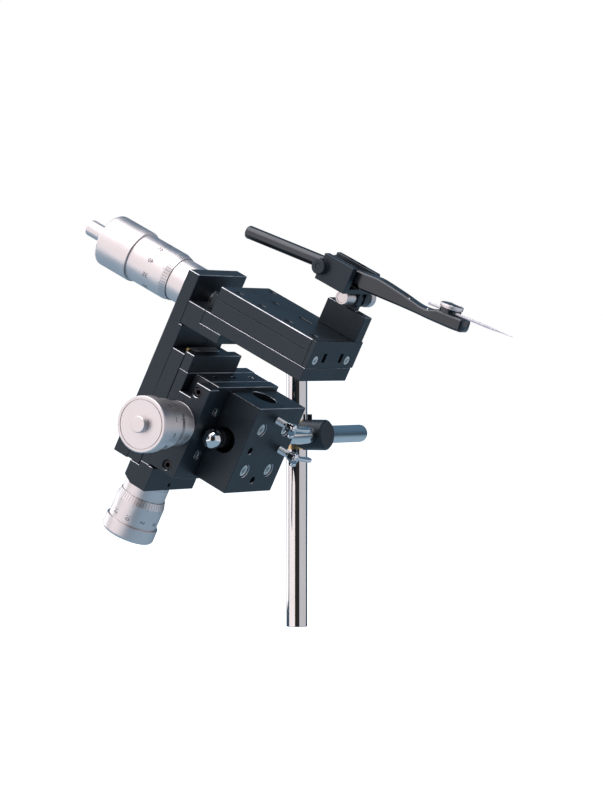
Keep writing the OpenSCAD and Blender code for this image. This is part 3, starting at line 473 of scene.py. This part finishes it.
def micrometer(name, place, index_at, ratio, hole, stem, barrel, show, thimble, ring, ring_r, wall, round_off):
    """One head. Heights run out from the face that the sleeve is let into."""
    bm = bmesh.new()
    lathe(bm, [
        (2.55, -stem), (4.6, -stem), (4.75, 0.15 - stem), (4.75, 0), (12.1, 0), (SLEEVE_R, 0.15),
        (SLEEVE_R, 0.9), (SLEEVE_R - 0.15, 1), (SLEEVE_R - 0.15, 1.3), (SLEEVE_R, 1.4),
        (SLEEVE_R, barrel - 0.3), (SLEEVE_R - 0.3, barrel), (7.75, barrel), (7.75, 5), (2.55, 5),
    ], around=128, closed=True)
    stroke(bm, SLEEVE_R + 0.02, index_at, 1.8, barrel - 1, 0.16)
    for i in range(int((barrel - 3) / HALF_TURN)):
        mark = FIRST_MARK + i * HALF_TURN
        side = 1 if i % 2 == 0 else -1
        reach = 2.0 if i % 10 == 0 else 1.3
        for j in range(3):
            # three short pieces follow the drum's curve
            spot = index_at + side * (0.12 + (j + 0.5) * reach / 3) / SLEEVE_R
            stroke(bm, SLEEVE_R + 0.02, spot, mark - 0.06, mark + 0.06, reach / 3 + 0.02)
        if i % 10 == 0:
            number(bm, str(i // 2), 2, SLEEVE_R, index_at + 3.6 / SLEEVE_R, mark)
    finished(bm, name + "_sleeve", place, [name + "_sleeve"], [satin, paint], painted=1)
    bm = bmesh.new()
    end = show + thimble
    lathe(bm, [
        (BORE_R, show), (12.7, show), (12.8, show + 0.1), (THIMBLE_R - 0.02, show + 3.9),
        (THIMBLE_R, show + 4.1), (THIMBLE_R, end - 0.45), (THIMBLE_R - 0.3, end - 0.3),
        (THIMBLE_R - 0.3, end), (BORE_R, end),
    ], around=160, closed=True)
    lean = math.atan2(1, 4)
    for i in range(50):
        angle = math.tau * i / 50
        long = i % 5 == 0
        stroke(bm, 13.3 + 0.03, angle, show + 0.35, show + 3.85, 0.2 if long else 0.16, lean)
        if long:
            stroke(bm, THIMBLE_R + 0.02, angle, show + 4.1, show + 5.2, 0.2)
            number(bm, str(i), 2.6, THIMBLE_R, angle, show + thimble * ratio)
    finished(bm, name + "_thimble", place, [name + "_thimble"], [satin, paint], painted=1)
    bm = bmesh.new()
    far = end + ring
    inner = [(1.85, far), (1.85, far - wall / 2), (2.5, far - wall / 2)] if hole else [(0, far)]
    face = [(ring_r - round_off, far)]
    if round_off < 1.2:
        face += [(13.55, far), (13.45, far - 0.6), (13.15, far - 0.6), (13.05, far)]
    start = [] if hole else [(0, far - wall / 2), (2.5, far - wall / 2)]
    lathe(bm, start + [
        (2.5, far - wall), (BORE_R, far - wall), (BORE_R, end), (14.5, end), (ring_r - 0.15, end + 0.15),
        (ring_r, end + 0.5), (ring_r, far - round_off), (ring_r - 0.08 * round_off, far - 0.6 * round_off),
        (ring_r - 0.3 * round_off, far - 0.28 * round_off),
        (ring_r - 0.62 * round_off, far - 0.08 * round_off),
    ] + face + inner, around=240, closed=hole)
    knurl(bm, ring_r, end + 0.5, far - round_off, 240, 0.05)
    finished(bm, name + "_ring", place, [name + "_ring"], [satin])
    kept(name + "_spindle", steel)
    return far


cross_place = STAGE @ at(-17.2, END_V, 0.8) @ BACK_V
far = micrometer(
    "cross", cross_place, index_at=math.radians(200), ratio=0.66, hole=True, stem=7, barrel=19, show=10.3,
    thimble=15.4, ring=8.5, ring_r=15.4, wall=3.5, round_off=0.8)
bm = bmesh.new()
lathe(bm, [
    (0, far - 1.5), (1.6, far - 1.5), (1.8, far - 1.3), (1.8, far + 0.2), (4.4, far + 0.2),
    (4.6, far + 0.4), (4.6, far + 3), (4.52, far + 3.4), (4.25, far + 3.7), (3.9, far + 3.8),
    (0, far + 3.8),
], around=64)
finished(bm, "cross_button", cross_place, ["cross_button"], [satin])

# ---- Column ----
# The foot block and the cap close the ends of the steel dovetail that stands on the
# cross carriage. The slide runs on it with a brass gib and carries the tall plate.
milled("guide_cap", 0.25, fine_edge, wear_and_highlight=up_facing)
milled("foot_block", 0.3, fine_edge, wear_and_highlight=up_facing)
milled("column_guide", 0.15, [steel, steel])
milled("column_slide", 0.25, fine_edge, wear_and_highlight=up_facing)
milled("column_plate", 0.3, fine_edge, wear_and_highlight=up_facing)
kept("column_gib", brass)
bm = bmesh.new()
lathe(bm, [(0, 0), (1.5, 0), (1.8, 0.2), (1.8, 1.4), (1.45, 1.8), (0, 1.8)], around=32)
finished(bm, "stop_screw", STAGE @ at(-34.2, -111.5, 36), ["stop_screw"], [brass])
socket_screws("column_screws", "column_screws", oxide, 4, 7, 4, [
    at(-47.5, STAGE_V + a * 17, w) @ BACK_U for w in (-14, 4, 22) for a in (-1, 1)]
    + [at(-47.5, STAGE_V + a * 15, 53.5) @ BACK_U for a in (-1, 1)])
column_place = STAGE @ at(-32.4, -98.6, -42.5) @ DOWN_W
micrometer(
    "column", column_place, index_at=math.radians(180), ratio=0.74, hole=False, stem=3, barrel=19, show=8.7,
    thimble=16.2, ring=8.6, ring_r=15, wall=4, round_off=2)

# ---- Arm ----
# The arm stands out from the column plate: a bracket and a base with a steel
# dovetail, and over it the carriage with its top plate and end plate.
# Painted highlight: only the top plate's chamfers at its near end that face up and toward the near side take
# the bright metal finish.
def near_top_edge(way, spot):
    return way.z > 0.55 and way.y < -0.3 and spot.y < STAGE_V - 20


milled("arm_bracket", 0.3, fine_edge, wear_and_highlight=up_facing)
milled("arm_base", 0.25, fine_edge, wear_and_highlight=up_facing)
milled("arm_guide", 0.15, [steel, steel])
milled("arm_carriage", 0.2, fine_edge)
milled("arm_top_plate", 0.35, fine_edge, wear_and_highlight=near_top_edge)
milled("arm_end_plate", 0.2, fine_edge)
socket_screws("top_plate_screws", "top_plate_screws", oxide, 2.5, 6.5, 1.5, [
    at(u, STAGE_V + v, 78.7)
    for u, v in ((-17, -18), (-2, -17), (17, -17), (34, -16.5), (-5.6, 2.5), (-19, 19))])
socket_screws("end_plate_screws", "end_plate_screws", steel, 3, 5, 1.6, [
    at(41.4, STAGE_V - 1.2 + a * 16.7, 67.9) @ TO_U for a in (-1, 1)])
arm_place = STAGE @ at(-48, -96.5, 64.4) @ BACK_U
far = micrometer(
    "arm", arm_place, index_at=math.radians(110), ratio=0.5, hole=True, stem=7.2, barrel=31, show=17,
    thimble=28, ring=22.5, ring_r=15, wall=10, round_off=2)
bm = bmesh.new()
lathe(bm, [
    (0, far - 4), (1.6, far - 4), (1.8, far - 3.8), (1.8, far + 0.3), (3.4, far + 0.3),
    (3.6, far + 0.5), (3.6, far + 1.7), (4.3, far + 2.2), (4.6, far + 2.6), (4.6, far + 14.8),
    (4.45, far + 15.4), (4.0, far + 15.8), (1.2, far + 15.8), (0.9, far + 15.4), (0, far + 15.4),
], around=120)
knurl(bm, 4.6, far + 2.6, far + 14.8, 120, 0.05)
finished(bm, "arm_ratchet", arm_place, ["arm_ratchet"], [satin])

# ---- Post ----
# A post is screwed to the end of the arm from below. Its tongue stands in the fork
# of the tilting head, and a satin thumb screw with a round nut pinches the two.
milled("post", 0.25, fine_edge, wear_and_highlight=up_facing)
socket_screws("post_screws", "post_screws", oxide, 3, 10.5, 2.2, [
    at(28.5 + a * 6.5, -77.35, 71.9) @ DOWN_W for a in (-1, 1)])
bm = bmesh.new()
lathe(bm, [
    (0, -91.7), (2.9, -91.7), (3.1, -92), (3.7, -92), (4.0, -91.8), (4.1, -91.4), (4.1, -83.4),
    (3.8, -83), (2, -83), (2, -67.6), (4.7, -67.6), (5.1, -67.2), (5.1, -63.5), (4.9, -63.15),
    (4.5, -63), (3.5, -63), (3.3, -63.3), (0, -63.3),
], around=80)
finished(bm, "tilt_screw", STAGE @ at(29, 0, 99.7) @ ALONG_V, ["tilt_screw"], [satin])

# ---- Tilting head ----
# A small milled cradle holds the electrode holder between two walls. The holder
# turns on a knurled black screw, and a clamp plate covers the far side.
HOLDER = STAGE @ at(11.5, -93, 111.7) @ Matrix.Rotation(math.radians(-6.5), 4, "Y")
milled("holder_head", 0.25, [anodised, anodised_edge])
milled("clamp_plate", 0.3, [anodised, anodised_edge])
socket_screws("clamp_plate_screws", "clamp_plate_screws", steel, 1.6, 5, 1, [
    at(u, -86, 119.1) for u in (21.5, 31)])
bm = bmesh.new()
lathe(bm, [
    (0, -20), (1.3, -20), (1.5, -19.8), (1.5, 0), (3.9, 0), (4.2, 0.3), (4.2, 2.4), (4.0, 2.8), (3.7, 3),
    (1.8, 3), (1.6, 2.7), (0, 2.7),
], around=96)
knurl(bm, 4.2, 0.3, 2.4, 96, 0.15)
finished(bm, "pivot_screw", HOLDER @ at(4.64, -10.7, -0.83) @ BACK_V, ["pivot_screw"], [anodised])

# ---- Electrode holder ----
# A black bar that flares into a paddle, its rear end turned down to a smooth rod.
# The glass lies in a groove across the paddle's collar and a thumb screw presses on it.
TOP = (
    (-1, 3.75), (20, 3.75), (28, 3.9), (36, 4), (40, 3.45), (45, 2.6), (52, 1.35), (58, 0.1), (64, -1.1),
    (67, -1.35), (70, -1.2), (73.5, -0.1), (76, 0.6), (91.4, 0.6), (92.6, 0.2), (93.3, -1.4), (93.55, -2.4),
)
FOOT = (
    (-1, -3.75), (25, -3.75), (26.5, -5.7), (54, -5.9), (70, -6.3), (86.5, -6.6), (92, -6.4), (93.2, -5.2),
    (93.55, -3.8),
)
NEAR = (
    (-1, -4), (62, -4), (67, -4.35), (73, -5.2), (91.2, -5.2), (92.2, -4.7), (92.9, -4), (93.4, -2.6),
    (93.55, -1.8),
)
FAR = ((-1, 4), (62, 4), (67, 5), (73, 6.9), (88.5, 6.9), (91, 6), (92.6, 4), (93.3, 2), (93.55, 0.4))
EDGE_R = 1.7
RING_POINTS = 28
NUT_H, NUT_V = 80.9, 0.9


def along(line, h):
    """The height of a broken line at a place along the bar."""
    for (h0, y0), (h1, y1) in zip(line, line[1:]):
        if h <= h1:
            return y0 + (y1 - y0) * (h - h0) / (h1 - h0)
    return line[-1][1]


bm = bmesh.new()
corners_at = {h for line in (TOP, FOOT, NEAR, FAR) for h, _ in line}
rings = []
for h in sorted(corners_at | set(range(0, 90, 2))):
    top, foot, near, wide = (along(line, h) for line in (TOP, FOOT, NEAR, FAR))
    r = min(EDGE_R, 0.45 * (top - foot), 0.45 * (wide - near))
    ring = []
    for i in range(RING_POINTS):
        corner, step = divmod(i, RING_POINTS // 4)
        turn = math.radians(90 * corner + 15 * step)
        y = (wide - r if corner in (0, 3) else near + r) + r * math.cos(turn)
        z = (top - r if corner < 2 else foot + r) + r * math.sin(turn)
        ring.append(bm.verts.new((h * MM, y * MM, z * MM)))
    rings.append(ring)
for one, two in zip(rings, rings[1:]):
    for i in range(RING_POINTS):
        after = (i + 1) % RING_POINTS
        bm.faces.new((one[i], one[after], two[after], two[i]))
bm.faces.new(rings[0])
bm.faces.new(rings[-1])
for i in range(24):
    # fine ribs across the far half of the top
    h = 38 + i * 0.8
    rib = at(h, 1.3, along(TOP, h) - 0.02) @ Matrix.Diagonal((0.4 * MM, 2.4 * MM, 0.3 * MM, 1))
    bmesh.ops.create_cube(bm, size=1, matrix=rib)
rod = lathe(bm, [
    (0, -51.3), (2.5, -51.3), (2.95, -51.15), (3.35, -50.8), (3.58, -50.4), (3.65, -49.9), (3.65, 1), (0, 1)])
bmesh.ops.rotate(bm, cent=(0, 0, 0), matrix=TO_U.to_3x3(), verts=list({v for f in rod for v in f.verts}))
collar = bmesh.new()
lathe(collar, [(0, -0.5), (5.7, -0.5), (5.9, 0.75), (5.9, 2), (5.7, 2.3), (0, 2.3)], around=120)
knurl(collar, 5.9, 0.7, 2.1, 120, 0.16)
for place, r, tall in ((at(57.5, -2.9, 0.05), 0.55, 0.35), (at(70.3, -3.9, -1.2), 0.6, 0.4)):
    # two small steel domes in the near edge
    outline = [(0, tall), (r * 0.7, tall * 0.85), (r, tall * 0.4), (r, -1), (0, -1)]
    fresh = lathe(collar, outline, around=24, finish=1)
    points = list({v for f in fresh for v in f.verts})
    bmesh.ops.transform(collar, matrix=at(-NUT_H, -NUT_V, 0) @ place, verts=points)
shape = bpy.data.meshes.new("collar")
bmesh.ops.transform(collar, matrix=at(NUT_H, NUT_V, 0), verts=collar.verts)
collar.to_mesh(shape)
collar.free()
bm.from_mesh(shape)
smooth_black = coat(
    "smooth black anodising", (0.008, 0.0095, 0.012), 0, 0.2, 0.8, 0.0004)
shine = smooth_black.node_tree.nodes["Principled BSDF"].inputs
shine["Specular IOR Level"].default_value = 0.85
shine["Specular Tint"].default_value = (0.8, 0.87, 0.95, 1)
finished(bm, "holder_body", HOLDER, ["holder_body"], [smooth_black, steel], crease=35)
bm = bmesh.new()
lathe(bm, [
    (0.43, 0), (0.7, 0), (0.75, 0.05), (0.75, 36), (0.7, 39), (0.52, 42.5), (0.32, 46), (0.19, 50),
    (0.12, 53), (0.06, 53), (0.1, 50), (0.2, 46), (0.34, 42.5), (0.43, 39),
], around=48, closed=True)
glass = coat("electrode glass", (0.86, 0.83, 0.9), 0, 0.12, 0.8, 0.0001, patchy=0.01)
clear = glass.node_tree.nodes["Principled BSDF"].inputs
clear["Transmission Weight"].default_value = 0.3
clear["IOR"].default_value = 1.47
finished(bm, "glass_electrode", HOLDER @ at(68.5, -1.6, 1.6) @ TO_U, ["glass_electrode"], [glass])
bm = bmesh.new()
lathe(bm, [(0, -7.3), (1.2, -7.3), (1.2, 0)], around=96)
lathe(bm, [(1.2, 0), (5.7, 0), (5.9, 0.15), (5.9, 0.55), (0, 0.55)], around=96, finish=1)
lathe(bm, [
    (0, 0.55), (6.1, 0.55), (6.33, 0.75), (6.35, 1.05), (6.18, 1.15), (6.18, 1.35), (6.35, 1.45),
    (6.35, 2.2), (6.2, 2.55), (5.85, 2.78), (5.5, 2.8), (5.4, 2.62)], around=96, finish=2)
lathe(bm, [(5.4, 2.62), (5.2, 2.58), (0, 2.58)], around=96, finish=1)
finished(bm, "thumb_nut", HOLDER @ at(NUT_H, NUT_V, 2.4), ["thumb_nut"], [steel, smooth_black, satin])

# ---- Studio ----
# A pale floor, and a blue-grey room that is dark behind the camera, as the polished
# parts show it. Warm softboxes stand at both sides, overhead and behind to the left.
AZIMUTH = math.radians(30.8)
FOCAL_PIXELS = 3620
FRAME_PIXELS = 800
SENSOR = 36
right = Vector((math.cos(AZIMUTH), math.sin(AZIMUTH), 0))
ahead = Vector((-math.sin(AZIMUTH), math.cos(AZIMUTH), 0))
up = Vector((0, 0, 1))
middle = Vector((0, -0.06, 0.12))

camera = bpy.data.objects.new("camera", bpy.data.cameras.new("camera"))
camera.data.lens = FOCAL_PIXELS / FRAME_PIXELS * SENSOR
camera.data.sensor_width = SENSOR
camera.data.clip_start = 0.1
camera.data.clip_end = 50
camera.location = (-2059 * ahead + 2.645 * right + 154.15 * up) * MM
camera.rotation_euler = (math.radians(90 - 0.70), 0, AZIMUTH)
bpy.context.scene.collection.objects.link(camera)
bpy.context.scene.camera = camera


def softbox(name, side, height, distance, wide, tall, colour, power):
    """A soft panel at an angle to the right of the camera's side, facing the object."""
    turn = math.radians(side)
    lift = math.radians(height)
    out = (-ahead * math.cos(turn) + right * math.sin(turn)) * math.cos(lift) + up * math.sin(lift)
    panel = bpy.data.lights.new(name, "AREA")
    panel.shape = "RECTANGLE"
    panel.size, panel.size_y = wide, tall
    panel.color = colour
    panel.energy = power
    lamp = bpy.data.objects.new(name, panel)
    lamp.location = middle + out * distance
    lamp.rotation_euler = out.to_track_quat("Z", "Y").to_euler()
    bpy.context.scene.collection.objects.link(lamp)


softbox("left softbox", -57, 12, 1.2, 1.9, 1.6, (1, 0.87, 0.83), 11)
softbox("right softbox", 74, 6, 1.2, 2.4, 1.3, (1, 0.91, 0.88), 6)
softbox("top softbox", -36, 72, 1.2, 1.5, 1.3, (1, 0.92, 0.89), 18)
softbox("back softbox", -128, 18, 1.2, 1.0, 1.2, (1, 0.96, 0.95), 6)

world = bpy.data.worlds.new("room")
bpy.context.scene.world = world
world.use_nodes = True
nodes, wire = world.node_tree.nodes, world.node_tree.links.new
seen = nodes.new("ShaderNodeBackground")
seen.inputs["Color"].default_value = (1, 1, 1, 1)
room = nodes["Background"]
heading = nodes.new("ShaderNodeTexCoord")
split = nodes.new("ShaderNodeSeparateXYZ")
slope = nodes.new("ShaderNodeMapRange")
slope.inputs["From Min"].default_value = -1
slope.inputs["From Max"].default_value = 1
wall = nodes.new("ShaderNodeValToRGB")
wall.color_ramp.elements[0].position = 0.3
wall.color_ramp.elements[0].color = (0.3, 0.43, 0.55, 1)
wall.color_ramp.elements[1].position = 0.46
wall.color_ramp.elements[1].color = (0.05, 0.085, 0.125, 1)
overhead = wall.color_ramp.elements.new(0.7)
overhead.color = (0.1, 0.18, 0.27, 1)
wire(heading.outputs["Generated"], split.inputs["Vector"])
wire(split.outputs["Z"], slope.inputs["Value"])
wire(slope.outputs["Result"], wall.inputs["Fac"])
past = nodes.new("ShaderNodeVectorMath")
past.operation = "DOT_PRODUCT"
past.inputs[1].default_value = -ahead
gap = nodes.new("ShaderNodeMapRange")
gap.inputs["From Min"].default_value = 0.86
gap.inputs["From Max"].default_value = 0.93
dim = nodes.new("ShaderNodeMix")
dim.data_type = "RGBA"
dim.inputs["B"].default_value = (0.03, 0.027, 0.026, 1)
wire(heading.outputs["Generated"], past.inputs[0])
wire(past.outputs["Value"], gap.inputs["Value"])
wire(gap.outputs["Result"], dim.inputs["Factor"])
wire(wall.outputs["Color"], dim.inputs["A"])
wire(dim.outputs["Result"], room.inputs["Color"])
mix = nodes.new("ShaderNodeMixShader")
rays = nodes.new("ShaderNodeLightPath")
wire(rays.outputs["Is Camera Ray"], mix.inputs["Fac"])
wire(room.outputs["Background"], mix.inputs[1])
wire(seen.outputs["Background"], mix.inputs[2])
wire(mix.outputs["Shader"], nodes["World Output"].inputs["Surface"])

floor_shape = bmesh.new()
bmesh.ops.create_grid(floor_shape, x_segments=1, y_segments=1, size=40)
floor_mesh = bpy.data.meshes.new("floor")
floor_shape.to_mesh(floor_mesh)
floor_shape.free()
pale = bpy.data.materials.new("pale floor")
pale.use_nodes = True
pale_shader = pale.node_tree.nodes["Principled BSDF"]
pale_shader.inputs["Base Color"].default_value = (0.8, 0.8, 0.8, 1)
pale_shader.inputs["Roughness"].default_value = 0.9
pale_shader.inputs["Specular IOR Level"].default_value = 0
pale_shader.inputs["Emission Color"].default_value = (1, 1, 1, 1)
pale_shader.inputs["Emission Strength"].default_value = 1
floor_mesh.materials.append(pale)
floor = bpy.data.objects.new("floor", floor_mesh)
floor.visible_glossy = False
floor.visible_shadow = False
floor.visible_diffuse = False
floor.visible_transmission = False
bpy.context.scene.collection.objects.link(floor)
bpy.context.scene.view_settings.view_transform = "Standard"
